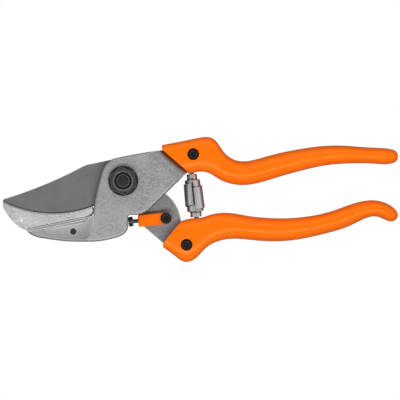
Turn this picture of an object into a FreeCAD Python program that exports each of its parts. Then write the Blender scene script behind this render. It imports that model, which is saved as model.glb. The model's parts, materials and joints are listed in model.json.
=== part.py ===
"""Pruning shears of the anvil type, lying flat, closed and latched.

Frame: X runs from the tip of the jaws (-X) to the ends of the handles (+X), Y runs across the
tool, from the lower handle to the upper one, and Z is up. The origin is on the pivot axis, on the
surface that the shears lie on, which is the flat end of the pivot bolt's head. Units: millimetres.

Three bodies: the anvil lever, the blade lever that turns on the pivot bolt, and the latch that
turns on its own shoulder screw on the blade lever.
"""
import FreeCAD, Part
import math
import os

V = FreeCAD.Vector
UP = V(0, 0, 1)

# heights of the layers above the surface
BOLT_HEAD_TOP = 3.0
REAR_WASHER_TOP = 3.5
ARM_BACK = 3.55
ARM_FRONT = 7.6
BLADE_FRONT = 10.8
FRONT_WASHER_BACK = 10.85
PLATE_BACK = 11.1
PLATE_FRONT = 16.8
WASHER_TOP = 18.3
NUT_HEX_TOP = 23.2
NUT_TOP = 24.9
BOLT_TOP = 24.6
TANG_BACK = 4.8
TANG_FRONT = 11.2
GRIP_MIDDLE = 8.0
EDGE_LEVEL = (ARM_FRONT + BLADE_FRONT) / 2

PLATE_ROUNDING = 1.2
RIM_END = 24.0

# pivot
BOLT_DIAMETER = 8.0
BOLT_CHAMFER = 0.7
HEX_ACROSS_FLATS = 13.0
HEX_TURN = 10.0
HEAD_CHAMFER = 0.5
WASHER_DIAMETER = 16.2
REAR_WASHER_DIAMETER = 13.4
BUSH_DIAMETER = 11.0
RUNNING_FIT = 0.04
NUT_RIM_RADIUS = 5.4
NUT_CROWN_RADIUS = 5.9
INSERT_RADIUS = 4.7
INSERT_BACK = 23.3
INSERT_TOP = 24.5

# blade
EDGE_START = V(-64.0, -11.0)
EDGE_MIDDLE = V(-39.5, -17.4)
EDGE_END = V(-16.2, -13.5)
HUB_RADIUS = 12.2
EDGE_LAND = 0.3
BEVEL_WIDTH = 1.5
# box around the cutting edge that the bevels stay in
BEVEL_REACH = (50.5, 20.0, 20.0)
EDGE_REACH_LOW = -24.0
BLADE_SCREW_PLACES = [(-7.9, 4.6), (-4.6, -7.9)]
BLADE_SCREW_HEAD = 5.0
BLADE_SCREW_THREAD = 3.0
BLADE_SCREW_CONE = 1.6
BLADE_SCREW_END = 10.2

# anvil and jaw
ANVIL_GAP = 0.15
ANVIL_WIDTH = 8.8
ANVIL_CHAMFER = 0.45
ANVIL_END = V(-15.9, -14.6)
SEAT_RIGHT = V(-16.9, -18.1)
SEAT_LEFT = V(-50.8, -25.1)
LUG_WIDTH = 3.0
PIN_PLACE = V(-26.5, -26.8)
PIN_DIAMETER = 3.7
PIN_RECESS = 0.3
MARK_PLACE = V(-54.1, -20.6)
MARK_DIAMETER = 1.9
MARK_GROOVE = 0.4
MARK_DEPTH = 0.3
JAW_BACK = 4.4
JAW_SIDE = -15.6
JAW_FALL = 2.3
JAW_FALL_START = -17.5
JAW_ROUNDING = 1.5
BELLY_LEVEL = -28.0
JAW_REACH = 20.0
# block behind the plate that closes the corner at the anvil's right end
STOP_OUTLINE = [(-15.7, -18.6), (-15.7, -14.0), (-12.0, -13.2), (-12.0, -18.6)]
STOP_BACK = 6.0
# width, height and right end of each step beside the anvil
TERRACES = [(0.45, 12.0, -16.3), (1.7, 14.0, -18.2), (3.0, 15.1, -18.2)]
SCOOP_RADIUS = 36.0
SCOOP_LEFT_DEPTH = 0.1
SCOOP_RIGHT_DEPTH = 0.35

# latch
LATCH_PLACE = V(22.6, -19.8)
LATCH_SLOPE = 5.4
LEVER_BACK = 7.75
LEVER_FRONT = 12.2
LEVER_HALF_WIDTH = 3.2
LEVER_NEAR = 1.3
LEVER_REACH = 14.9
LEVER_HUB_RADIUS = 2.8
STOP_LEVEL = 9.95
STOP_NECK_DIAMETER = 2.1
STOP_HEAD_DIAMETER = 5.2
STOP_HEAD_START = 17.55
STOP_HEAD_LENGTH = 2.55
STOP_DEPTH = 4.0
LATCH_HEAD_DIAMETER = 5.9
LATCH_HEAD_TOP = 15.0
SHOULDER_DIAMETER = 4.0
SPRING_WASHER_DIAMETER = 5.4
SPRING_WASHER_BACK = 12.25
SPRING_WASHER_TOP = 12.55
RELIEF_RADIUS = 17.6
RELIEF_TOP = 12.85

# grip screws
UPPER_SCREW_PLACE = V(37.0, 14.2)
LOWER_SCREW_PLACE = V(33.5, -33.8)
SCREW_HEAD_DIAMETER = 5.6
SCREW_HEAD_TOP = 14.9
SCREW_SEAT = 12.6
SCREW_HOLE_DIAMETER = 6.3
SCREW_THREAD_DIAMETER = 3.6
SCREW_END = 2.6
SOCKET_DEPTH = 1.6
SOCKET_ACROSS_FLATS = 3.0

# spring, along its axis from the upper grip to the lower one
SPRING_TOP = V(36.1, 4.3, GRIP_MIDDLE)
SPRING_BOTTOM = V(38.7, -19.75, GRIP_MIDDLE)
SPRING_BORE = 1.7
SPRING_GAP = 0.5
SEAT_RADIUS = 2.0
SEAT_DEPTH = 2.0
PEG_RADIUS = 1.2
PEG_LENGTH = 4.2


def spline(points):
    """A smooth edge through points given as (x, y)."""
    curve = Part.BSplineCurve()
    curve.interpolate([V(x, y) for x, y in points])
    return curve.toShape()


def lines(points):
    """Straight edges from each point to the next."""
    places = [V(point[0], point[1]) for point in points]
    return [Part.LineSegment(a, b).toShape() for a, b in zip(places, places[1:])]


def prism(edges, back, front):
    """The solid between two levels with a closed outline of edges."""
    wire = Part.Wire(Part.__sortEdges__(edges))
    face = Part.Face(wire)
    face.translate(V(0, 0, back))
    return face.extrude(V(0, 0, front - back))


def polygon(points, back, front):
    """A prism whose outline is made of straight lines."""
    return prism(lines(points + points[:1]), back, front)


def cylinder(place, diameter, back, front):
    """A cylinder that stands on its end."""
    return Part.makeCylinder(diameter / 2, front - back, V(place.x, place.y, back), UP)


def hexagon(place, across_flats, back, front, turn=0.0):
    """A hexagonal prism, turned so that one corner points at an angle of turn + 90 degrees."""
    corner = across_flats / math.sqrt(3)
    angles = [math.radians(turn + 90 + 60 * side) for side in range(6)]
    points = [(place.x + corner * math.cos(a), place.y + corner * math.sin(a)) for a in angles]
    return polygon(points, back, front)


def revolved(place, profile):
    """The solid that a profile of (radius, height) makes as it turns about a standing axis."""
    points = [V(radius, 0, height) for radius, height in profile]
    face = Part.Face(Part.makePolygon(points + points[:1]))
    solid = face.revolve(V(0, 0, 0), UP, 360)
    solid.translate(V(place.x, place.y, 0))
    return solid


def level_edges(solid, level):
    """The edges of a solid that lie wholly on one level."""
    def flat(edge):
        box = edge.BoundBox
        return abs(box.ZMin - level) < 1e-4 and abs(box.ZMax - level) < 1e-4
    return [edge for edge in solid.Edges if flat(edge)]


def rounded_screw_head(place, diameter, back, top, crown):
    """A low cylinder with a bevelled rim."""
    radius = diameter / 2
    profile = [(0, back), (radius, back), (radius, top - crown), (radius - crown, top), (0, top)]
    return revolved(place, profile)


# ---------------------------------------------------------------- blade lever

def edge_arc():
    """The cutting edge, a part of a circle."""
    return Part.Arc(EDGE_START, EDGE_MIDDLE, EDGE_END).toShape()


def make_blade():
    """Blade with an arched cutting edge and a bevel on both sides, and an eye for the pivot."""
    spine = spline([(-63.4, -9.6), (-48.4, -4.5), (-34.7, 1.2), (-21.2, 7.9)])
    shoulder = lines([(-21.2, 7.9), (-18.8, 8.7), (-6.0, 11.4)])
    back = spline([(-6.0, 11.4), (-3.0, 12.0), (0.0, HUB_RADIUS)])
    eye = Part.Arc(V(0, HUB_RADIUS), V(HUB_RADIUS, 0), V(0, -HUB_RADIUS)).toShape()
    heel = spline([(0, -HUB_RADIUS), (-8.0, -11.6), (EDGE_END.x, EDGE_END.y)])
    tip = lines([(EDGE_START.x, EDGE_START.y), (-64.3, -10.3), (-63.4, -9.6)])
    outline = [spine, back, eye, heel, edge_arc()] + shoulder + tip
    blade = prism(outline, ARM_FRONT, BLADE_FRONT)
    blade = blade.cut(edge_bevel(ARM_FRONT, EDGE_LEVEL - EDGE_LAND / 2))
    blade = blade.cut(edge_bevel(BLADE_FRONT, EDGE_LEVEL + EDGE_LAND / 2))
    blade = blade.cut(cylinder(V(0, 0), BUSH_DIAMETER, ARM_FRONT, BLADE_FRONT))
    for x, y in BLADE_SCREW_PLACES:
        blade = blade.cut(cylinder(V(x, y), BLADE_SCREW_THREAD, ARM_FRONT, BLADE_SCREW_END))
    return blade


def edge_bevel(face_level, land_level):
    """The ring that leaves a sloping face along the cutting edge, from a face to the edge."""
    arc = edge_arc().Curve
    inner = arc.Radius - BEVEL_WIDTH
    outer = arc.Radius + BEVEL_WIDTH
    away = 1.0 if face_level > land_level else -1.0
    beyond = face_level + away
    far_level = 2 * land_level - face_level
    cutter = revolved(arc.Center, [(inner, face_level), (inner, beyond), (outer, beyond), (outer, far_level)])
    return cutter.common(Part.makeBox(*BEVEL_REACH, V(EDGE_START.x - BEVEL_WIDTH, EDGE_REACH_LOW, 0)))


def make_blade_arm():
    """Hub, the sector that carries the latch, and the core that runs on inside the lower grip."""
    hub = cylinder(V(0, 0), 2 * HUB_RADIUS, ARM_BACK, ARM_FRONT)
    rim = Part.Arc(V(15.4, -3.5), V(25.3, -9.5), V(30.4, -21.4)).toShape()
    front = lines([(30.4, -21.4), (31.4, -22.6), (22.0, -34.0), (20.6, -32.7), (10.5, -24.1)])
    heel = lines([(10.5, -24.1), (8.3, -21.2), (7.7, -17.6), (3.0, -15.6), (-8.6, -8.6)])
    shoulder = lines([(-8.6, -8.6), (8.6, 8.6), (15.4, -3.5)])
    sector = prism([rim] + front + heel + shoulder, ARM_BACK, ARM_FRONT)
    upper = [(29.4, -23.8), (45.0, -23.2), (55.0, -21.2), (70.0, -23.0), (85.0, -23.6), (101.0, -21.8)]
    end = [(113.0, -19.0), (122.0, -15.8), (122.0, -19.8), (113.0, -22.8), (101.0, -26.0)]
    lower = [(85.0, -28.0), (70.0, -27.6), (55.0, -26.8), (45.0, -30.0), (38.0, -36.6), (30.0, -37.0)]
    core = polygon(upper + end + lower + [(23.2, -33.0), (22.4, -32.2)], TANG_BACK, TANG_FRONT)
    arm = hub.fuse([sector, core.cut(grip_front_space(LOWER_FRONT, LOWER_WAY))])
    arm = arm.cut(cylinder(V(0, 0), BUSH_DIAMETER, ARM_BACK, ARM_FRONT))
    arm = arm.cut(cylinder(LATCH_PLACE, SHOULDER_DIAMETER - 1.0, ARM_BACK, ARM_FRONT))
    arm = arm.cut(cylinder(LOWER_SCREW_PLACE, SCREW_THREAD_DIAMETER, TANG_BACK - 5, TANG_FRONT))
    for screw in blade_screw_solids():
        arm = arm.cut(screw)
    return arm.removeSplitter()


def blade_screw_solids():
    """Two countersunk screws, put in from behind, that hold the blade on its arm."""
    radius = BLADE_SCREW_HEAD / 2
    thread = BLADE_SCREW_THREAD / 2
    cone_end = ARM_BACK + BLADE_SCREW_CONE
    profile = [(0, ARM_BACK), (radius, ARM_BACK), (thread, cone_end), (thread, BLADE_SCREW_END)]
    return [revolved(V(x, y), profile + [(0, BLADE_SCREW_END)]) for x, y in BLADE_SCREW_PLACES]


def make_blade_screws():
    """The two screws with a hexagonal socket in each head."""
    screws = []
    for solid, (x, y) in zip(blade_screw_solids(), BLADE_SCREW_PLACES):
        socket = hexagon(V(x, y), 2.0, ARM_BACK - 1, ARM_BACK + 1.0)
        screws.append(solid.cut(socket))
    return Part.makeCompound(screws)


def make_pivot_bush():
    """Bearing bush in the eye of the blade and its arm."""
    bush = cylinder(V(0, 0), BUSH_DIAMETER, ARM_BACK, BLADE_FRONT)
    return bush.cut(cylinder(V(0, 0), BOLT_DIAMETER + 2 * RUNNING_FIT, ARM_BACK - 1, BLADE_FRONT + 1))


# ---------------------------------------------------------------- anvil lever

def neck_profile():
    """Side outline of the anvil lever, which cranks down from the front plate to its core."""
    normal = V(-UPPER_WAY.y, UPPER_WAY.x)
    reach = 60.0

    def at(along, level):
        return normal * along + UP * level - UPPER_WAY * reach
    crest = [at(18.4, PLATE_FRONT), at(19.5, 16.77), at(21.7, 16.3), at(24.0, 15.0), at(26.4, 12.2)]
    slope = Part.BSplineCurve()
    slope.interpolate(crest)
    outline = [crest[-1], at(26.4, TANG_BACK), at(24.0, TANG_BACK), at(21.2, PLATE_BACK)]
    outline += [at(-reach, PLATE_BACK), at(-reach, PLATE_FRONT), crest[0]]
    edges = [Part.LineSegment(a, b).toShape() for a, b in zip(outline, outline[1:])]
    face = Part.Face(Part.Wire([slope.toShape()] + edges))
    return face.extrude(UPPER_WAY * 2 * reach)


def front_plate():
    """Front plate at the pivot with its neck and the notch that the latch bears on."""
    top = spline([(-5.6, 11.7), (0.2, 13.0), (6.9, 14.3), (20.4, 16.3)])
    neck = lines([(20.4, 16.3), (21.4, 16.4), (34.6, 5.2), (13.3, -15.5)])
    corner = spline([(13.3, -15.5), (11.6, -16.6), (6.9, -18.0)])
    notch = lines([(6.9, -18.0), (3.1, -18.0), (2.5, -18.6), (2.5, -24.4)])
    belly = spline([(2.5, -24.4), (0.8, -27.7), (-5.2, -30.4), (-12.5, -31.9), (-19.0, -32.2)])
    side = spline([(-19.0, -32.2), (-16.3, -22.0), (-15.5, -12.5), (-12.8, -0.2), (-11.0, 5.8), (-5.6, 11.7)])
    plate = prism([top, corner, belly, side] + neck + notch, TANG_BACK, PLATE_FRONT)
    rim = [edge for edge in level_edges(plate, PLATE_FRONT) if edge.CenterOfMass.x < RIM_END]
    plate = plate.makeFillet(PLATE_ROUNDING, rim)
    return plate.common(neck_profile())


def latch_relief():
    """Hidden recess behind the front plate that the latch passes through as the shears open."""
    space = cylinder(V(0, 0), 90.0, PLATE_BACK - 1, RELIEF_TOP)
    space = space.cut(cylinder(V(0, 0), 2 * RELIEF_RADIUS, PLATE_BACK - 1, RELIEF_TOP))
    wedge = polygon([(0, 0), (40.0, -50.0), (-27.0, -50.0)], PLATE_BACK - 1, RELIEF_TOP)
    return space.common(wedge)


def jaw_outline():
    """Edges of the jaw: the line under the anvil, the nose and curved belly, the side towards the pivot."""
    seat_end = seat_line(JAW_SIDE)
    seat = lines([(JAW_SIDE, seat_end), (SEAT_LEFT.x, SEAT_LEFT.y), (-51.3, -26.4)])
    belly = spline([(-51.3, -26.4), (-48.8, -28.5), (-41.3, -30.6), (-30.0, -32.0), (JAW_SIDE, -32.15)])
    side = lines([(JAW_SIDE, -32.15), (JAW_SIDE, seat_end)])
    return seat + [belly] + side


def seat_line(x):
    """Y of the top of the jaw, just under the anvil."""
    slope = (SEAT_RIGHT.y - SEAT_LEFT.y) / (SEAT_RIGHT.x - SEAT_LEFT.x)
    return SEAT_RIGHT.y + slope * (x - SEAT_RIGHT.x)


def jaw_face(x):
    """Height of the jaw's front face, which falls towards the nose."""
    share = (JAW_FALL_START - x) / (JAW_FALL_START - SEAT_LEFT.x)
    return PLATE_FRONT - share * JAW_FALL


def falling_space():
    """Everything in front of the falling face of the jaw."""
    ends = [(JAW_FALL_START, PLATE_FRONT), (-56.0, jaw_face(-56.0)), (-56.0, 25.0), (JAW_FALL_START, 25.0)]
    points = [V(x, -40.0, z) for x, z in ends]
    return Part.Face(Part.makePolygon(points + points[:1])).extrude(V(0, 30.0, 0))


def terrace(width, level, right_end):
    """The space over a step that runs along the top of the jaw, round at its right end."""
    slope = (SEAT_RIGHT - SEAT_LEFT).normalize()
    inward = V(slope.y, -slope.x)
    start = V(-60.0, seat_line(-60.0))
    end = V(right_end, seat_line(right_end)) - slope * width
    strip = [start - inward, end - inward, end + inward * width, start + inward * width]
    space = polygon([(p.x, p.y) for p in strip], level, PLATE_FRONT + 1)
    return space.fuse(cylinder(end, 2 * width, level, PLATE_FRONT + 1))


def scoop():
    """Long shallow hollow in the jaw's front face, as a round-ended rod leaves it."""
    left = V(-40.0, -27.7, jaw_face(-40.0) + SCOOP_RADIUS - SCOOP_LEFT_DEPTH)
    right = V(-26.0, -27.0, jaw_face(-26.0) + SCOOP_RADIUS - SCOOP_RIGHT_DEPTH)
    rod = Part.makeCylinder(SCOOP_RADIUS, (right - left).Length, left, right - left)
    return rod.fuse([Part.makeSphere(SCOOP_RADIUS, place) for place in (left, right)])


def jaw():
    """Lower jaw with steps beside the anvil, a rounded belly, a shallow hollow and a heel stop."""
    body = prism(jaw_outline(), JAW_BACK, PLATE_FRONT).cut(falling_space())
    belly = [edge for edge in body.Edges if edge.CenterOfMass.y < BELLY_LEVEL and edge.Length > JAW_REACH]
    body = body.makeFillet(JAW_ROUNDING, belly)
    for step in TERRACES:
        body = body.cut(terrace(*step))
    body = body.cut(scoop())
    return body.fuse(polygon(STOP_OUTLINE, STOP_BACK, PLATE_BACK + 1))


def anvil_lug():
    """Tongue of the anvil that goes down into the jaw, where the pin holds it."""
    points = [(-31.5, -20.0), (-21.5, -18.0), (-22.6, -27.5), (-24.0, -29.4), (-29.0, -29.6), (-30.6, -28.0)]
    return polygon(points, EDGE_LEVEL - LUG_WIDTH / 2, EDGE_LEVEL + LUG_WIDTH / 2)


def make_anvil():
    """Soft insert that the cutting edge closes on, with a concave top."""
    arc = edge_arc().Curve
    radius = arc.Radius + ANVIL_GAP

    def on_circle(x):
        return V(x, arc.Center.y - math.sqrt(radius ** 2 - (x - arc.Center.x) ** 2))
    start = on_circle(-64.0)
    end = on_circle(-16.4)
    top = Part.Arc(start, on_circle(-40.0), end).toShape()
    right = spline([(end.x, end.y), (ANVIL_END.x, ANVIL_END.y), (-15.9, -16.4), (SEAT_RIGHT.x, SEAT_RIGHT.y)])
    seat = lines([SEAT_RIGHT, SEAT_LEFT, (-52.2, -26.3)])
    nose = spline([(-52.2, -26.3), (-57.9, -22.3), (-61.6, -17.8), (-63.9, -13.4), (start.x, start.y)])
    back = EDGE_LEVEL - ANVIL_WIDTH / 2
    front = EDGE_LEVEL + ANVIL_WIDTH / 2
    anvil = prism([top, right, nose] + seat, back, front)
    for level in (back, front):
        rim = [edge for edge in level_edges(anvil, level) if edge.CenterOfMass.y > -19.5]
        anvil = anvil.makeChamfer(ANVIL_CHAMFER, rim)
    groove = ring(MARK_PLACE, MARK_DIAMETER + 2 * MARK_GROOVE, MARK_DIAMETER, front - MARK_DEPTH, front + 1)
    anvil = anvil.cut(groove)
    anvil = anvil.fuse(anvil_lug())
    return anvil.cut(cylinder(PIN_PLACE, PIN_DIAMETER, 0, PLATE_FRONT)).removeSplitter()


def make_anvil_pin():
    """Cross pin through the jaw and the tongue of the anvil."""
    back = JAW_BACK + PIN_RECESS
    front = jaw_face(PIN_PLACE.x) - 2 * PIN_RECESS
    pin = cylinder(PIN_PLACE, PIN_DIAMETER, back, front)
    return pin.makeChamfer(0.25, level_edges(pin, back) + level_edges(pin, front))


def make_anvil_arm():
    """One casting: front plate, jaw and the core that runs on inside the upper grip."""
    upper = [(21.6, 14.3), (24.0, 16.0), (42.0, 18.2), (46.0, 16.4), (53.0, 9.6), (66.0, 7.2)]
    end = [(82.0, 11.2), (96.0, 14.4), (111.0, 16.2), (122.0, 16.0), (122.0, 11.5), (111.0, 11.3)]
    lower = [(96.0, 9.2), (82.0, 5.8), (66.0, 1.7), (56.0, 2.6), (44.0, 8.4), (33.6, 7.8), (31.6, 6.2)]
    core = polygon(upper + end + lower, TANG_BACK, TANG_FRONT)
    core = core.cut(grip_front_space(UPPER_FRONT, UPPER_WAY))
    neck_end = front_plate().cut(grip_space(UPPER_FRONT, UPPER_WAY))
    arm = neck_end.fuse([jaw(), core]).cut(latch_relief())
    arm = arm.cut(cylinder(V(0, 0), BOLT_DIAMETER, 0, BOLT_TOP))
    arm = arm.cut(anvil_lug())
    arm = arm.cut(cylinder(PIN_PLACE, PIN_DIAMETER, 0, PLATE_FRONT))
    arm = arm.cut(cylinder(UPPER_SCREW_PLACE, SCREW_THREAD_DIAMETER, 0, TANG_FRONT))
    arm = arm.cut(make_spring_seat("upper"))
    return arm.removeSplitter()


# ---------------------------------------------------------------- grips

UPPER_FRONT = V(20.2, 17.0)
UPPER_WAY = V(14.1, -12.3).normalize()
LOWER_FRONT = V(20.6, -33.6)
LOWER_WAY = V(10.2, 12.5).normalize()
UPPER_NOSE = 20.4
LOWER_NOSE = 21.0

# points along the edges of the two grips, from the front end to the tail
UPPER_TOP = [
    (12.0, 17.5), (21.3, 19.3), (30.8, 21.1), (38.1, 22.6), (42.8, 23.4), (46.3, 23.1), (49.5, 20.9),
    (52.0, 17.1), (55.1, 13.6), (59.2, 11.2), (64.1, 10.5), (69.0, 11.2), (77.0, 13.4), (93.6, 17.0),
    (112.9, 18.9), (133.6, 17.7), (141.8, 17.0), (144.7, 15.8), (146.0, 13.1),
]
UPPER_UNDERSIDE = [
    (12.0, 4.2), (24.0, 4.1), (36.0, 4.2), (41.3, 5.0), (45.3, 4.2), (50.0, 1.4), (56.0, -1.2),
    (63.3, -2.2), (70.6, -1.3), (83.0, 2.3), (96.2, 5.9), (105.0, 7.9), (113.8, 9.0), (123.0, 9.35),
    (133.0, 9.2), (141.6, 9.1), (144.6, 10.2), (146.0, 12.9),
]
LOWER_TOP = [
    (12.0, -25.2), (24.0, -22.7), (30.8, -21.1), (36.1, -19.9), (41.8, -19.3), (46.2, -17.9), (50.3, -17.1),
    (55.1, -16.9), (60.4, -17.5), (66.5, -18.6), (75.0, -19.5), (86.0, -19.8), (97.2, -18.9),
    (111.5, -15.7), (125.6, -11.0), (131.7, -10.2), (137.8, -11.1), (142.7, -13.6), (145.2, -16.2), (146.0, -18.1),
]
LOWER_UNDERSIDE = [
    (12.0, -28.4), (20.0, -34.4), (28.0, -40.4), (32.4, -43.0), (37.6, -41.6), (43.3, -36.0), (49.5, -32.3),
    (58.4, -30.7), (68.0, -31.4), (79.0, -32.1), (92.0, -31.2), (105.4, -28.4), (121.6, -23.2), (129.0, -19.7),
    (134.2, -18.9), (139.2, -20.7), (142.9, -21.5), (145.0, -20.2), (146.0, -18.3),
]
GRIP_HALF = 7.8
GRIP_STEP = 3.0
THIN = 0.01
JOIN_TOLERANCE = 0.001
NEAR_ENOUGH = 1e-9
TAIL_START = 134.0
TAIL_STATIONS = [137.0, 139.6, 141.6, 143.2, 144.4, 145.2, 145.7]
TAIL_END = 146.1
SECTION_POINTS = 16
FRONT_POWER = 0.58
HANDLE_POWER = 0.88
FLAT_UNTIL = 44.0
ROUND_FROM = 64.0


def height_at(curve, x):
    """Y of a smooth curve at a given X, found by halving; X rises along the curve."""
    low = curve.FirstParameter
    high = curve.LastParameter
    while high - low > NEAR_ENOUGH:
        middle = (low + high) / 2
        if curve.value(middle).x < x:
            low = middle
        else:
            high = middle
    return curve.value(low).y


def half_thickness(x):
    """Half the thickness of a grip, which rounds off at the tail."""
    if x < TAIL_START:
        return GRIP_HALF
    return GRIP_HALF * math.sqrt(1 - ((x - TAIL_START) / (TAIL_END - TAIL_START)) ** 2)


def grip_section(x, low, high):
    """Points around a grip at a given X: boxy at the front end, nearly an ellipse along the handle."""
    half_height = (high - low) / 2
    half = half_thickness(x)
    roundness = min(1.0, max(0.0, (x - FLAT_UNTIL) / (ROUND_FROM - FLAT_UNTIL)))
    power = FRONT_POWER + (HANDLE_POWER - FRONT_POWER) * roundness
    points = []
    for index in range(SECTION_POINTS + 1):
        angle = 2 * math.pi * index / SECTION_POINTS - math.pi / 2
        across = math.copysign(abs(math.cos(angle)) ** power, math.cos(angle))
        upward = math.copysign(abs(math.sin(angle)) ** power, math.sin(angle))
        points.append(V(x, (low + high) / 2 + half_height * across, GRIP_MIDDLE + half * upward))
    points[-1] = points[0]
    return points


def grip_body(top, underside):
    """The whole outer shape of a grip: one smooth skin through its sections, closed by two ends."""
    upper_curve = Part.BSplineCurve()
    upper_curve.interpolate([V(x, y) for x, y in top])
    lower_curve = Part.BSplineCurve()
    lower_curve.interpolate([V(x, y) for x, y in underside])
    count = round((TAIL_START - top[0][0]) / GRIP_STEP)
    stations = [top[0][0] + GRIP_STEP * index for index in range(count + 1)] + TAIL_STATIONS
    skin = Part.BSplineSurface()
    levels = [(x, height_at(lower_curve, x), height_at(upper_curve, x)) for x in stations]
    skin.interpolate([grip_section(*level) for level in levels])
    side = skin.toShape()
    ends = [Part.Face(Part.Wire([edge])) for edge in side.Edges if edge.BoundBox.XLength < THIN]
    body = Part.Solid(Part.makeShell([side] + ends))
    body.fix(JOIN_TOLERANCE, JOIN_TOLERANCE, JOIN_TOLERANCE)
    return body


def side_space(place, way, sign):
    """Everything on one side of the slanted plane at the front end of a grip."""
    normal = V(way.y, -way.x) * sign
    reach = 90.0
    corners = [place - way * reach, place + way * reach]
    corners += [corners[1] + normal * reach, corners[0] + normal * reach]
    return polygon([(p.x, p.y) for p in corners], -5.0, 30.0)


def grip_front_space(place, way):
    """The space in front of a grip, towards the pivot."""
    return side_space(place, way, pivot_side(place, way))


def grip_space(place, way):
    """The space that holds a grip, away from the pivot."""
    return side_space(place, way, -pivot_side(place, way))


def pivot_side(place, way):
    """Sign of the normal of a slanted front plane that points to the pivot."""
    normal = V(way.y, -way.x)
    return 1.0 if normal.dot(V(0, 0) - place) > 0 else -1.0


def make_grip(outline, nose, place, way, screw_place, seat, arm):
    """Hard plastic sleeve with a slanted front end, a blunt nose, a recessed screw and a spring seat."""
    ahead_of_nose = polygon([(nose, -60.0), (nose, 60.0), (0, 60.0), (0, -60.0)], -5.0, 30.0)
    grip = grip_body(*outline).cut(ahead_of_nose)
    grip = grip.cut(grip_front_space(place, way))
    grip = grip.cut(arm)
    grip = grip.cut(cylinder(screw_place, SCREW_HOLE_DIAMETER, SCREW_SEAT, 20.0))
    grip = grip.cut(cylinder(screw_place, SCREW_THREAD_DIAMETER, SCREW_END, SCREW_SEAT))
    return grip.cut(seat)


def make_grip_screw(place):
    """Socket head screw that goes through the sleeve and the core."""
    head = rounded_screw_head(place, SCREW_HEAD_DIAMETER, SCREW_SEAT, SCREW_HEAD_TOP, 0.5)
    head = head.cut(hexagon(place, SOCKET_ACROSS_FLATS, SCREW_HEAD_TOP - SOCKET_DEPTH, SCREW_HEAD_TOP + 1))
    return head.fuse(cylinder(place, SCREW_THREAD_DIAMETER, SCREW_END, SCREW_SEAT)).removeSplitter()


# ---------------------------------------------------------------- pivot pieces

def make_pivot_bolt():
    """Hexagon head bolt: the hinge pin, and the flat head that the shears rest on."""
    head = hexagon(V(0, 0), HEX_ACROSS_FLATS, 0, BOLT_HEAD_TOP, HEX_TURN)
    corner = HEX_ACROSS_FLATS / math.sqrt(3)
    flat = HEX_ACROSS_FLATS / 2 - 0.2
    rim = [(0, 0), (flat, 0), (corner, HEAD_CHAMFER), (corner, BOLT_HEAD_TOP), (0, BOLT_HEAD_TOP)]
    shaft = rounded_screw_head(V(0, 0), BOLT_DIAMETER, BOLT_HEAD_TOP, BOLT_TOP, BOLT_CHAMFER)
    return head.common(revolved(V(0, 0), rim)).fuse(shaft)


def ring(place, diameter, bore, back, front):
    """A flat washer."""
    return cylinder(place, diameter, back, front).cut(cylinder(place, bore, back - 1, front + 1))


def make_pivot_nut():
    """Hexagon lock nut with a raised collar for its insert."""
    corner = HEX_ACROSS_FLATS / math.sqrt(3)
    profile = [(0, WASHER_TOP), (corner, WASHER_TOP), (corner, NUT_HEX_TOP - 0.9)]
    profile += [(NUT_CROWN_RADIUS, NUT_HEX_TOP), (NUT_RIM_RADIUS, NUT_TOP), (0, NUT_TOP)]
    nut = hexagon(V(0, 0), HEX_ACROSS_FLATS, WASHER_TOP, NUT_TOP, HEX_TURN)
    nut = nut.common(revolved(V(0, 0), profile))
    nut = nut.cut(cylinder(V(0, 0), 2 * INSERT_RADIUS, INSERT_BACK, NUT_TOP + 1))
    return nut.cut(cylinder(V(0, 0), BOLT_DIAMETER, WASHER_TOP - 1, NUT_TOP))


# ---------------------------------------------------------------- latch

def latch_frame(solid):
    """Turn a solid made along +X at the origin so that it points from the latch screw to the notch."""
    solid.rotate(V(0, 0, 0), UP, 180 + LATCH_SLOPE)
    solid.translate(V(LATCH_PLACE.x, LATCH_PLACE.y, 0))
    return solid


def make_latch_lever():
    """Bar with a round eye for the latch screw."""
    half = LEVER_HALF_WIDTH
    thickness = LEVER_FRONT - LEVER_BACK
    bar = Part.makeBox(LEVER_REACH - LEVER_NEAR, 2 * half, thickness, V(LEVER_NEAR, -half, LEVER_BACK))
    upright = [edge for edge in bar.Edges if abs(edge.BoundBox.ZLength - thickness) < 1e-4]
    bar = bar.makeFillet(0.7, upright)
    bar = bar.makeChamfer(0.5, level_edges(bar, LEVER_FRONT))
    bar = bar.fuse(cylinder(V(0, 0), 2 * LEVER_HUB_RADIUS, LEVER_BACK, LEVER_FRONT))
    bar = bar.cut(cylinder(V(0, 0), SHOULDER_DIAMETER + 2 * RUNNING_FIT, 0, 20))
    return latch_frame(bar.cut(stud(STOP_NECK_DIAMETER, LEVER_REACH - STOP_DEPTH, LEVER_REACH)))


def stud(diameter, start, end):
    """A cylinder that lies along the latch, between two distances from its screw."""
    return Part.makeCylinder(diameter / 2, end - start, V(start, 0, STOP_LEVEL), V(1, 0, 0))


def make_latch_stop():
    """Stud in the end of the lever whose head stands in the notch of the front plate."""
    neck = stud(STOP_NECK_DIAMETER, LEVER_REACH - STOP_DEPTH, STOP_HEAD_START)
    head = stud(STOP_HEAD_DIAMETER, STOP_HEAD_START, STOP_HEAD_START + STOP_HEAD_LENGTH)
    rims = [edge for edge in head.Edges if edge.Closed]
    return latch_frame(neck.fuse(head.makeChamfer(0.5, rims)))


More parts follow.
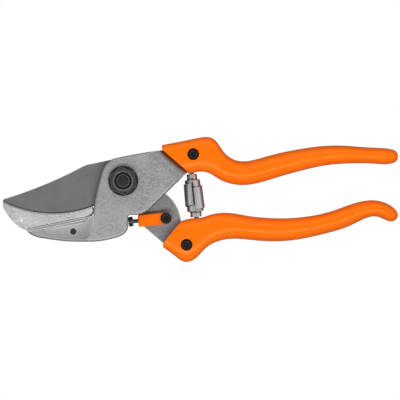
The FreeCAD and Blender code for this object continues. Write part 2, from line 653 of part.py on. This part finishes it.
def make_latch_screw():
    """Shoulder screw that the latch turns on."""
    head = rounded_screw_head(LATCH_PLACE, LATCH_HEAD_DIAMETER, SPRING_WASHER_TOP, LATCH_HEAD_TOP, 0.6)
    floor = LATCH_HEAD_TOP - SOCKET_DEPTH
    head = head.cut(hexagon(LATCH_PLACE, SOCKET_ACROSS_FLATS, floor, LATCH_HEAD_TOP + 1))
    shoulder = cylinder(LATCH_PLACE, SHOULDER_DIAMETER, ARM_FRONT, SPRING_WASHER_TOP)
    thread = cylinder(LATCH_PLACE, SHOULDER_DIAMETER - 1.0, ARM_BACK, ARM_FRONT)
    return head.fuse([shoulder, thread]).removeSplitter()


# ---------------------------------------------------------------- spring

def along_spring(profile):
    """A solid of revolution about the spring's axis; the profile is (distance from the top, radius)."""
    axis = SPRING_BOTTOM - SPRING_TOP
    solid = revolved(V(0, 0), [(radius, distance) for distance, radius in profile])
    turn = FreeCAD.Rotation(UP, axis)
    solid.Placement = FreeCAD.Placement(SPRING_TOP, turn)
    return solid


def make_volute_spring():
    """Outer shape of the two-ended spring that is rolled from strip, around an open bore."""
    length = (SPRING_BOTTOM - SPRING_TOP).Length
    top = SPRING_GAP
    bottom = length - SPRING_GAP
    profile = [(top, SPRING_BORE), (top, 3.0), (3.8, 3.0), (3.8, 4.7), (8.0, 4.9), (14.0, 5.2), (20.4, 5.4)]
    profile += [(20.4, 3.2), (bottom, 2.8), (bottom, SPRING_BORE)]
    return along_spring(profile)


def make_spring_seat(end):
    """Stud set in a grip, with a peg that stands in the bore of the spring."""
    length = (SPRING_BOTTOM - SPRING_TOP).Length
    profile = [(-SEAT_DEPTH, 0), (-SEAT_DEPTH, SEAT_RADIUS), (0, SEAT_RADIUS), (0, PEG_RADIUS)]
    profile += [(PEG_LENGTH, PEG_RADIUS), (PEG_LENGTH, 0)]
    if end == "lower":
        profile = [(length - distance, radius) for distance, radius in profile]
    return along_spring(profile)


def main():
    """Make every piece and write it out under its own name."""
    os.makedirs("parts", exist_ok=True)
    center = V(0, 0)
    anvil_arm = make_anvil_arm()
    blade_arm = make_blade_arm()
    upper_seat = make_spring_seat("upper")
    lower_seat = make_spring_seat("lower")
    pieces = {
        "anvil_arm": anvil_arm,
        "anvil": make_anvil(),
        "anvil_pin": make_anvil_pin(),
        "upper_grip": make_grip((UPPER_TOP, UPPER_UNDERSIDE), UPPER_NOSE, UPPER_FRONT, UPPER_WAY,
                                UPPER_SCREW_PLACE, upper_seat, anvil_arm),
        "upper_grip_screw": make_grip_screw(UPPER_SCREW_PLACE),
        "upper_spring_seat": upper_seat,
        "pivot_bolt": make_pivot_bolt(),
        "pivot_washer": ring(center, WASHER_DIAMETER, BOLT_DIAMETER, PLATE_FRONT, WASHER_TOP),
        "pivot_nut": make_pivot_nut(),
        "pivot_nut_insert": ring(center, 2 * INSERT_RADIUS, BOLT_DIAMETER, INSERT_BACK, INSERT_TOP),
        "rear_thrust_washer": ring(center, REAR_WASHER_DIAMETER, BOLT_DIAMETER, BOLT_HEAD_TOP,
                                   REAR_WASHER_TOP),
        "front_thrust_washer": ring(center, WASHER_DIAMETER, BOLT_DIAMETER, FRONT_WASHER_BACK, PLATE_BACK),
        "volute_spring": make_volute_spring(),
        "blade": make_blade(),
        "blade_arm": blade_arm,
        "blade_screws": make_blade_screws(),
        "pivot_bush": make_pivot_bush(),
        "lower_grip": make_grip((LOWER_TOP, LOWER_UNDERSIDE), LOWER_NOSE, LOWER_FRONT, LOWER_WAY,
                                LOWER_SCREW_PLACE, lower_seat, blade_arm),
        "lower_grip_screw": make_grip_screw(LOWER_SCREW_PLACE),
        "lower_spring_seat": lower_seat,
        "latch_screw": make_latch_screw(),
        "latch_spring_washer": ring(LATCH_PLACE, SPRING_WASHER_DIAMETER, SHOULDER_DIAMETER,
                                    SPRING_WASHER_BACK, SPRING_WASHER_TOP),
        "latch_lever": make_latch_lever(),
        "latch_stop": make_latch_stop(),
    }
    for name, shape in pieces.items():
        solids = shape.Solids
        print(name, "solids", len(solids), "volume", round(shape.Volume, 1), "valid", shape.isValid())
        final = solids[0] if len(solids) == 1 else Part.makeCompound(solids)
        final.exportStep("parts/" + name + ".step")


main()
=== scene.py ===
"""Looks of the pruning shears: materials, the rolled spring, the floor, the light and the camera."""
import json
import math

import bmesh
import bpy
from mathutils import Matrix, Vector


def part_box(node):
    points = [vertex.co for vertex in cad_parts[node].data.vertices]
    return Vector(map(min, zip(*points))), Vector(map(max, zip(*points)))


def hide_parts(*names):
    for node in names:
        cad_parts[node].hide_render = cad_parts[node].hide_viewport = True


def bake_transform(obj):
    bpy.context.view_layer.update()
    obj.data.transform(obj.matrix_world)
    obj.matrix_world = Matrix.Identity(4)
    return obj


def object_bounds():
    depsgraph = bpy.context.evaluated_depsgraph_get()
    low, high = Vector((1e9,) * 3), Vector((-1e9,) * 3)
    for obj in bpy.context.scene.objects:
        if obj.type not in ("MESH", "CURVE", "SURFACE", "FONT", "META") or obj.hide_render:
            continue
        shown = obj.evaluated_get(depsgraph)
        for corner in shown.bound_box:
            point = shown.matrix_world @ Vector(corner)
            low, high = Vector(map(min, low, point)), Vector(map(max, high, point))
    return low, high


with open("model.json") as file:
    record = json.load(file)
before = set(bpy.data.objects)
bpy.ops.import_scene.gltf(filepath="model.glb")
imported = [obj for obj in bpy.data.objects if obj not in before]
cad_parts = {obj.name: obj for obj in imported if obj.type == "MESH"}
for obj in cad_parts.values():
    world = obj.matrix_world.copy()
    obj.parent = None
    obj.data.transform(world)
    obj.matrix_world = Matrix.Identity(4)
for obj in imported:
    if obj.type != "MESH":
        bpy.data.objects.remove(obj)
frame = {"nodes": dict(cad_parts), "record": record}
cad_low, cad_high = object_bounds()
MM = 0.001


# ---------------------------------------------------------------- shader nodes

# most of a noise texture lies between these two values
NOISE_LOW = 0.3
NOISE_HIGH = 0.7
# sockets of a mix node that blends colours
MIX_FIRST = 6
MIX_SECOND = 7
MIX_RESULT = 2
BEVEL_SAMPLES = 6


def new_material(name):
    """A material with one Principled shader; returns it with its node tree and its shader."""
    made = bpy.data.materials.new(name)
    made.use_nodes = True
    tree = made.node_tree
    tree.nodes.clear()
    output = tree.nodes.new("ShaderNodeOutputMaterial")
    shader = tree.nodes.new("ShaderNodeBsdfPrincipled")
    tree.links.new(shader.outputs["BSDF"], output.inputs["Surface"])
    return made, tree, shader


def object_place(tree, stretch=(1, 1, 1)):
    """Coordinates in the piece's own frame, scaled along each axis."""
    coordinates = tree.nodes.new("ShaderNodeTexCoord")
    mapping = tree.nodes.new("ShaderNodeMapping")
    mapping.inputs["Scale"].default_value = stretch
    tree.links.new(coordinates.outputs["Object"], mapping.inputs["Vector"])
    return mapping.outputs["Vector"]


def noise(tree, place, per_metre, detail, roughness=0.55):
    """Noise with so many cells to a metre."""
    texture = tree.nodes.new("ShaderNodeTexNoise")
    texture.inputs["Scale"].default_value = per_metre
    texture.inputs["Detail"].default_value = detail
    texture.inputs["Roughness"].default_value = roughness
    tree.links.new(place, texture.inputs["Vector"])
    return texture.outputs["Fac"]


def between(tree, factor, low, high, start=NOISE_LOW, end=NOISE_HIGH):
    """A number that goes from low to high as the factor goes from start to end."""
    ramp = tree.nodes.new("ShaderNodeMapRange")
    ramp.inputs["From Min"].default_value = start
    ramp.inputs["From Max"].default_value = end
    ramp.inputs["To Min"].default_value = low
    ramp.inputs["To Max"].default_value = high
    tree.links.new(factor, ramp.inputs["Value"])
    return ramp.outputs["Result"]


def blend_colours(tree, factor, first, second):
    """A colour between two; each is a tuple or another node's output."""
    mix = tree.nodes.new("ShaderNodeMix")
    mix.data_type = "RGBA"
    tree.links.new(factor, mix.inputs["Factor"])
    for socket, colour in ((mix.inputs[MIX_FIRST], first), (mix.inputs[MIX_SECOND], second)):
        if isinstance(colour, tuple):
            socket.default_value = (*colour, 1.0)
        else:
            tree.links.new(colour, socket)
    return mix.outputs[MIX_RESULT]


def rounded_normal(tree, radius):
    """Normal that rounds the edges of a piece by a small radius."""
    bevel = tree.nodes.new("ShaderNodeBevel")
    bevel.samples = BEVEL_SAMPLES
    bevel.inputs["Radius"].default_value = radius
    return bevel.outputs["Normal"]


def bump(tree, height, distance, normal):
    """The given normal, tilted to follow a height pattern."""
    node = tree.nodes.new("ShaderNodeBump")
    node.inputs["Distance"].default_value = distance
    tree.links.new(height, node.inputs["Height"])
    tree.links.new(normal, node.inputs["Normal"])
    return node.outputs["Normal"]


def along(tree, vector, direction):
    """Cosine of the angle between a vector and a direction, which is a tuple or another node's output."""
    dot = tree.nodes.new("ShaderNodeVectorMath")
    dot.operation = "DOT_PRODUCT"
    tree.links.new(vector, dot.inputs[0])
    if isinstance(direction, tuple):
        dot.inputs[1].default_value = direction
    else:
        tree.links.new(direction, dot.inputs[1])
    return dot.outputs["Value"]


# ---------------------------------------------------------------- kinds of material

# noise cells to a metre
METAL_PATCHES = 90.0
PLASTIC_PATCHES = 60.0
PLASTIC_MARKS = 900.0
# scale of the coordinates, which makes the marks four times as long along the handles
MARKS_STRETCH = (0.25, 1.0, 1.0)
PLASTIC_GRAIN_DEPTH = 0.01 * MM
# radius of the edges that the shading rounds
METAL_EDGE_ROUND = 0.2 * MM
PLASTIC_EDGE_ROUND = 0.5 * MM
# how far the roughness goes below and above its middle
METAL_GLOSS = (-0.05, 0.06)
PLASTIC_GLOSS = (-0.04, 0.06)
# noise values from which a metal's light specks start and are full
SPECK_START = 0.4
SPECK_FULL = 0.6
# how far the cosine between the plain and the rounded normal falls where the painted edge highlight is full
EDGE_HIGHLIGHT_FALL = 0.12


def painted_edge_highlight(tree, radius):
    """1 along the edges of a piece, where a highlight is painted, and 0 on its faces."""
    rounded = rounded_normal(tree, radius)
    plain = tree.nodes.new("ShaderNodeNewGeometry").outputs["Normal"]
    return between(tree, along(tree, rounded, plain), 1.0, 0.0, 1.0 - EDGE_HIGHLIGHT_FALL, 1.0)


def metal(name, dark, light, edge_highlight, roughness, grain, grain_depth, metallic=1.0, specular=0.5,
          stretch=(1, 1, 1), edge_highlight_radius=0.3, speckle_strength=0.35):
    """Metal whose colour and gloss vary a little, with a fine grain and a painted highlight along its edges.

    The grain is in cells to a metre, its depth and the radius of the painted edge highlight in mm.
    """
    made, tree, shader = new_material(name)
    place = object_place(tree, stretch)
    patches = noise(tree, place, METAL_PATCHES, detail=4.0)
    speckle = noise(tree, place, grain, detail=2.0)
    specks = between(tree, speckle, 0.0, speckle_strength, SPECK_START, SPECK_FULL)
    colour = blend_colours(tree, between(tree, patches, 0.0, 1.0), dark, light)
    colour = blend_colours(tree, specks, colour, light)
    # painted highlight: the edges take the lighter edge colour
    colour = blend_colours(tree, painted_edge_highlight(tree, edge_highlight_radius * MM), colour, edge_highlight)
    normal = bump(tree, speckle, grain_depth * MM, rounded_normal(tree, METAL_EDGE_ROUND))
    gloss = between(tree, patches, *(roughness + change for change in METAL_GLOSS))
    shader.inputs["Metallic"].default_value = metallic
    shader.inputs["Specular IOR Level"].default_value = specular
    tree.links.new(colour, shader.inputs["Base Color"])
    tree.links.new(gloss, shader.inputs["Roughness"])
    tree.links.new(normal, shader.inputs["Normal"])
    return made


def moulded_plastic(name, colour, deep, roughness, specular, tint=(1, 1, 1)):
    """Satin moulded plastic with faint mottling and fine handling marks."""
    made, tree, shader = new_material(name)
    patches = noise(tree, object_place(tree), PLASTIC_PATCHES, detail=3.0)
    marks = noise(tree, object_place(tree, MARKS_STRETCH), PLASTIC_MARKS, detail=4.0, roughness=0.7)
    mottled = blend_colours(tree, between(tree, patches, 0.0, 1.0), colour, deep)
    normal = bump(tree, marks, PLASTIC_GRAIN_DEPTH, rounded_normal(tree, PLASTIC_EDGE_ROUND))
    gloss = between(tree, marks, *(roughness + change for change in PLASTIC_GLOSS))
    shader.inputs["Specular IOR Level"].default_value = specular
    shader.inputs["Specular Tint"].default_value = (*tint, 1.0)
    tree.links.new(mottled, shader.inputs["Base Color"])
    tree.links.new(gloss, shader.inputs["Roughness"])
    tree.links.new(normal, shader.inputs["Normal"])
    return made


# ---------------------------------------------------------------- the shears' own materials

# the edge colour of each metal is a highlight painted along its edges
METALS = {
    "cast_aluminium": dict(dark=(0.205, 0.205, 0.208), light=(0.34, 0.34, 0.343), edge_highlight=(0.72, 0.72, 0.72),
                           roughness=0.50, grain=1100.0, grain_depth=0.08, edge_highlight_radius=0.7,
                           speckle_strength=0.8),
    "dull_aluminium": dict(dark=(0.15, 0.15, 0.153), light=(0.245, 0.245, 0.248), edge_highlight=(0.60, 0.60, 0.60),
                           roughness=0.50, grain=1100.0, grain_depth=0.08, edge_highlight_radius=0.5,
                           speckle_strength=0.7),
    "anvil_aluminium": dict(dark=(0.32, 0.32, 0.32), light=(0.52, 0.52, 0.52), edge_highlight=(0.92, 0.92, 0.92),
                            roughness=0.42, grain=1300.0, grain_depth=0.08, speckle_strength=0.8),
    "coated_steel": dict(dark=(0.115, 0.115, 0.117), light=(0.158, 0.158, 0.16), edge_highlight=(0.24, 0.24, 0.24),
                         roughness=0.50, grain=1500.0, grain_depth=0.02, metallic=0.5),
    "black_steel": dict(dark=(0.006, 0.006, 0.007), light=(0.012, 0.012, 0.013), edge_highlight=(0.34, 0.34, 0.34),
                        roughness=0.30, grain=2600.0, grain_depth=0.008, metallic=0.2, edge_highlight_radius=0.5),
    "screw_steel": dict(dark=(0.004, 0.004, 0.005), light=(0.009, 0.009, 0.01), edge_highlight=(0.06, 0.06, 0.06),
                        roughness=0.32, grain=2600.0, grain_depth=0.008, metallic=0.0, specular=0.2),
    "zinc_steel": dict(dark=(0.17, 0.17, 0.175), light=(0.24, 0.24, 0.245), edge_highlight=(0.5, 0.5, 0.5),
                       roughness=0.42, grain=1500.0, grain_depth=0.015),
    "spring_steel": dict(dark=(0.54, 0.54, 0.545), light=(0.68, 0.68, 0.685), edge_highlight=(0.90, 0.90, 0.90),
                         roughness=0.30, grain=1400.0, grain_depth=0.01, stretch=(3, 0.4, 3),
                         edge_highlight_radius=0.1),
    "bronze": dict(dark=(0.34, 0.21, 0.09), light=(0.42, 0.27, 0.12), edge_highlight=(0.55, 0.4, 0.2),
                   roughness=0.45, grain=2600.0, grain_depth=0.015),
}
PLASTICS = {
    "dark_nylon": dict(colour=(0.004, 0.004, 0.005), deep=(0.008, 0.008, 0.009), roughness=0.5, specular=0.2),
    "orange_plastic": dict(colour=(1.0, 0.162, 0.0), deep=(0.97, 0.150, 0.0), roughness=0.27, specular=0.5,
                           tint=(1.0, 0.5, 0.2)),
}
MATERIALS = {name: metal(name, **look) for name, look in METALS.items()}
MATERIALS.update({name: moulded_plastic(name, **look) for name, look in PLASTICS.items()})

# pieces whose finish differs a little from the rest of their slot
OWN_FINISH = {
    "blade_arm": "dull_aluminium",
    "upper_grip_screw": "screw_steel",
    "lower_grip_screw": "screw_steel",
    "latch_screw": "screw_steel",
}

# a face counts as ground bevel by the cosine between its normal and the way to the anvil; the bevel gets
# painted light, a lighter colour against the shade that falls on its tilted faces
TOWARDS_ANVIL = (0, -1, 0)
BEVEL_START = 0.15
BEVEL_FULL = 0.3
BEVEL_PAINTED_LIGHT_COLOUR = (0.34, 0.34, 0.34)
# crevices get painted shade by how much of the surroundings a point sees within this reach
CREVICE_REACH = 1.5 * MM
CREVICE_DEEP = 0.6
CREVICE_OPEN = 0.85
CREVICE_SAMPLES = 8
CREVICE_SHADE_COLOUR = (0.02, 0.02, 0.02)
# the small round pin head near the tip of the anvil, and the width over which its colour fades
PIN_HEAD = (-54.1 * MM, -20.6 * MM)
PIN_HEAD_RADIUS = 0.95 * MM
PIN_HEAD_RIM = 0.1 * MM
PIN_HEAD_COLOUR = (0.64, 0.64, 0.64)


def bevel_painted_light_mask(tree):
    """1 on the faces of the blade that look towards the anvil, such as its ground bevel, where light is
    painted.
    """
    facing = tree.nodes.new("ShaderNodeTexCoord").outputs["Normal"]
    return between(tree, along(tree, facing, TOWARDS_ANVIL), 0.0, 1.0, BEVEL_START, BEVEL_FULL)


def painted_crevice_shade_mask(tree):
    """1 down in the narrow gaps of a piece, where shade is painted."""
    shade = tree.nodes.new("ShaderNodeAmbientOcclusion")
    shade.samples = CREVICE_SAMPLES
    shade.only_local = True
    shade.inputs["Distance"].default_value = CREVICE_REACH
    return between(tree, shade.outputs["AO"], 1.0, 0.0, CREVICE_DEEP, CREVICE_OPEN)


def pin_head_mask(tree):
    """1 on the small round pin head near the tip of the anvil."""
    distance = tree.nodes.new("ShaderNodeVectorMath")
    distance.operation = "DISTANCE"
    distance.inputs[1].default_value = (*PIN_HEAD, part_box("anvil")[1][2])
    tree.links.new(object_place(tree), distance.inputs[0])
    rim = PIN_HEAD_RADIUS - PIN_HEAD_RIM
    return between(tree, distance.outputs["Value"], 1.0, 0.0, rim, PIN_HEAD_RADIUS)


def recolour(name, make_mask, colour):
    """Give the places that a mask picks out of a finished material another base colour."""
    tree = MATERIALS[name].node_tree
    base = tree.nodes["Principled BSDF"].inputs["Base Color"]
    tree.links.new(blend_colours(tree, make_mask(tree), base.links[0].from_socket, colour), base)


def finish_cad_nodes():
    """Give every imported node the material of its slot, or its own variant of it."""
    for part in frame["record"]["subparts"]:
        name = part["node"]
        node = frame["nodes"][name]
        node.data.materials.clear()
        node.data.materials.append(MATERIALS[OWN_FINISH.get(name, part["material_slot"])])


# ---------------------------------------------------------------- rolled spring

SPRING_TOP = Vector((36.1, 4.3, 8.0)) * MM
SPRING_BOTTOM = Vector((38.7, -19.75, 8.0)) * MM
# sizes of the strip in mm
STRIP_THICKNESS = 0.54
STRIP_EDGE = 0.08
STEPS_PER_TURN = 48
STEPS_ALONG = 10
# angles in degrees, from the spring's left side over its front: a turn ends at the start of the step and
# the next begins, one strip further out, at the step's end; the last turn stops a little sooner
STEP_START = 88.0
STEP_END = 92.3
OUTER_END = 81.5
# each turn from its start to its end: middle radius, then how far its two edges are from the top end, in mm
TURNS = [
    ((2.50, 0.6, 23.5), (2.62, 0.6, 23.5)),
    ((3.18, 3.7, 20.9), (3.32, 3.4, 20.7)),
    ((3.88, 4.0, 20.7), (4.02, 3.8, 20.4)),
    ((4.58, 8.0, 19.6), (4.86, 5.2, 16.9)),
]
LOWEST_EDGE = TURNS[0][0][2]
# share by which the spring is narrower at its top and wider at its bottom
FLARE = 0.05
# edges that turn more than this look sharp
SMOOTH_ANGLE = math.radians(30)


def strip_section(radius, top, bottom):
    """Outline of the strip as (radius, distance from the top), with softened corners."""
    inner = radius - STRIP_THICKNESS / 2
    outer = radius + STRIP_THICKNESS / 2
    length = bottom - top - 2 * STRIP_EDGE
    levels = [top + STRIP_EDGE + length * i / STEPS_ALONG for i in range(STEPS_ALONG + 1)]
    section = [(inner + STRIP_EDGE, top), (outer - STRIP_EDGE, top)]
    section += [(outer, level) for level in levels]
    section += [(outer - STRIP_EDGE, bottom), (inner + STRIP_EDGE, bottom)]
    return section + [(inner, level) for level in reversed(levels)]


def strip_sections():
    """Angle and outline of every section of the strip, from its inner end to its outer end."""
    sections = []
    for turn, (first, last) in enumerate(TURNS, 1):
        stop = 360 + (OUTER_END if turn == len(TURNS) else STEP_START)
        for step in range(STEPS_PER_TURN + 1):
            share = step / STEPS_PER_TURN
            angle = STEP_END + (stop - STEP_END) * share
            sections.append((angle, strip_section(*(a + (b - a) * share for a, b in zip(first, last)))))
    return sections


def strip_points(sections):
    """Places of all corners of the strip, section after section."""
    way = (SPRING_BOTTOM - SPRING_TOP).normalized()
    side = Vector((0, 0, 1))
    across = way.cross(side)
    points = []
    for angle, outline in sections:
        outward = across * math.cos(math.radians(angle)) + side * math.sin(math.radians(angle))
        for radius, level in outline:
            flared = radius * (1 - FLARE + 2 * FLARE * level / LOWEST_EDGE)
            points.append(SPRING_TOP + way * level * MM + outward * flared * MM)
    return points


def strip_faces(count, ring):
    """Faces between so many sections of so many corners each, and one face at either end."""
    faces = [tuple(range(ring)), tuple(reversed(range((count - 1) * ring, count * ring)))]
    for index in range(count - 1):
        for corner in range(ring):
            following = (corner + 1) % ring
            a = index * ring
            b = a + ring
            faces.append((a + following, a + corner, b + corner, b + following))
    return faces


def make_rolled_spring():
    """Strip of steel rolled into four turns; each steps out over the end of the one inside it."""
    sections = strip_sections()
    mesh = bpy.data.meshes.new("rolled_spring")
    mesh.from_pydata(strip_points(sections), [], strip_faces(len(sections), len(sections[0][1])))
    shape = bmesh.new()
    shape.from_mesh(mesh)
    bmesh.ops.recalc_face_normals(shape, faces=shape.faces)
    shape.to_mesh(mesh)
    shape.free()
    mesh.materials.append(MATERIALS["spring_steel"])
    mesh.shade_smooth()
    mesh.set_sharp_from_angle(angle=SMOOTH_ANGLE)
    spring = bpy.data.objects.new("rolled_spring", mesh)
    bpy.context.scene.collection.objects.link(spring)
    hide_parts("volute_spring")
    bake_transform(spring)


# ---------------------------------------------------------------- stage

# the camera shows this width at this level; these are in metres, and the sensor's width is in mm
VIEW_MIDDLE = (0.0406, -0.0101)
VIEW_WIDTH = 0.2122
VIEW_LEVEL = 0.012
CAMERA_HEIGHT = 2.0
SENSOR_WIDTH = 36.0
FLOOR_REACH = 3.0
# share of its glow that the floor throws on the shears
FLOOR_BOUNCE = 0.13
# brightness of the surroundings: at the horizon and below, in the band above it and at the zenith,
# with the heights, as the z of a direction, where the band starts to rise and where it is brightest
HORIZON = 0.7
BAND = 0.95
ZENITH = 0.38
BAND_START = 0.05
BAND_TOP = 0.3
# name, place, width and depth in metres, power in watts
LIGHTS = [
    ("back_softbox", (0.04, 0.75, 0.85), 1.4, 0.3, 3.2),
    ("front_softbox", (0.10, -0.40, 1.05), 1.0, 0.2, 5.6),
]


def make_camera():
    """Camera that looks straight down on the shears from far away."""
    data = bpy.data.cameras.new("camera")
    data.sensor_width = SENSOR_WIDTH
    data.lens = SENSOR_WIDTH * (CAMERA_HEIGHT - VIEW_LEVEL) / VIEW_WIDTH
    camera = bpy.data.objects.new("camera", data)
    camera.location = (*VIEW_MIDDLE, CAMERA_HEIGHT)
    bpy.context.scene.collection.objects.link(camera)
    bpy.context.scene.camera = camera


def make_floor():
    """White glowing table that the shears lie on; it casts only a little of its light back up at them."""
    made, tree, shader = new_material("floor")
    shader.inputs["Base Color"].default_value = (0.0, 0.0, 0.0, 1.0)
    shader.inputs["Roughness"].default_value = 1.0
    shader.inputs["Specular IOR Level"].default_value = 0.0
    shader.inputs["Emission Color"].default_value = (1.0, 1.0, 1.0, 1.0)
    seen = tree.nodes.new("ShaderNodeLightPath").outputs["Is Camera Ray"]
    tree.links.new(between(tree, seen, FLOOR_BOUNCE, 1.0, 0.0, 1.0), shader.inputs["Emission Strength"])
    mesh = bpy.data.meshes.new("floor")
    corners = [(x * FLOOR_REACH, y * FLOOR_REACH, cad_low.z) for x, y in ((-1, -1), (1, -1), (1, 1), (-1, 1))]
    mesh.from_pydata(corners, [], [(0, 1, 2, 3)])
    mesh.materials.append(made)
    floor = bpy.data.objects.new("floor", mesh)
    bpy.context.scene.collection.objects.link(floor)


def make_light(name, place, width, depth, power):
    """Soft rectangular light that faces the shears."""
    data = bpy.data.lights.new(name, "AREA")
    data.shape = "RECTANGLE"
    data.size = width
    data.size_y = depth
    data.energy = power
    light = bpy.data.objects.new(name, data)
    light.location = place
    target = (cad_low + cad_high) / 2
    light.rotation_euler = (target - Vector(place)).to_track_quat("-Z", "Y").to_euler()
    bpy.context.scene.collection.objects.link(light)


def make_studio():
    """Surroundings brightest in a band above the horizon and dimmest overhead, and the soft lights."""
    world = bpy.data.worlds.new("studio")
    world.use_nodes = True
    tree = world.node_tree
    background = tree.nodes["Background"]
    coordinates = tree.nodes.new("ShaderNodeTexCoord")
    parts = tree.nodes.new("ShaderNodeSeparateXYZ")
    tree.links.new(coordinates.outputs["Generated"], parts.inputs["Vector"])
    height = parts.outputs["Z"]
    band = tree.nodes.new("ShaderNodeMath")
    band.operation = "MINIMUM"
    tree.links.new(between(tree, height, HORIZON, BAND, BAND_START, BAND_TOP), band.inputs[0])
    tree.links.new(between(tree, height, BAND, ZENITH, BAND_TOP, 1.0), band.inputs[1])
    tree.links.new(band.outputs["Value"], background.inputs["Strength"])
    background.inputs["Color"].default_value = (1.0, 1.0, 1.0, 1.0)
    bpy.context.scene.world = world
    for light in LIGHTS:
        make_light(*light)
    bpy.context.scene.view_settings.view_transform = "Standard"


# painted light on the blade's bevel, against the shade on its tilted faces
recolour("coated_steel", bevel_painted_light_mask, BEVEL_PAINTED_LIGHT_COLOUR)
# painted shade in the narrow gaps between the spring's turns
recolour("spring_steel", painted_crevice_shade_mask, CREVICE_SHADE_COLOUR)
recolour("anvil_aluminium", pin_head_mask, PIN_HEAD_COLOUR)
make_camera()
make_floor()
make_studio()
finish_cad_nodes()
make_rolled_spring()
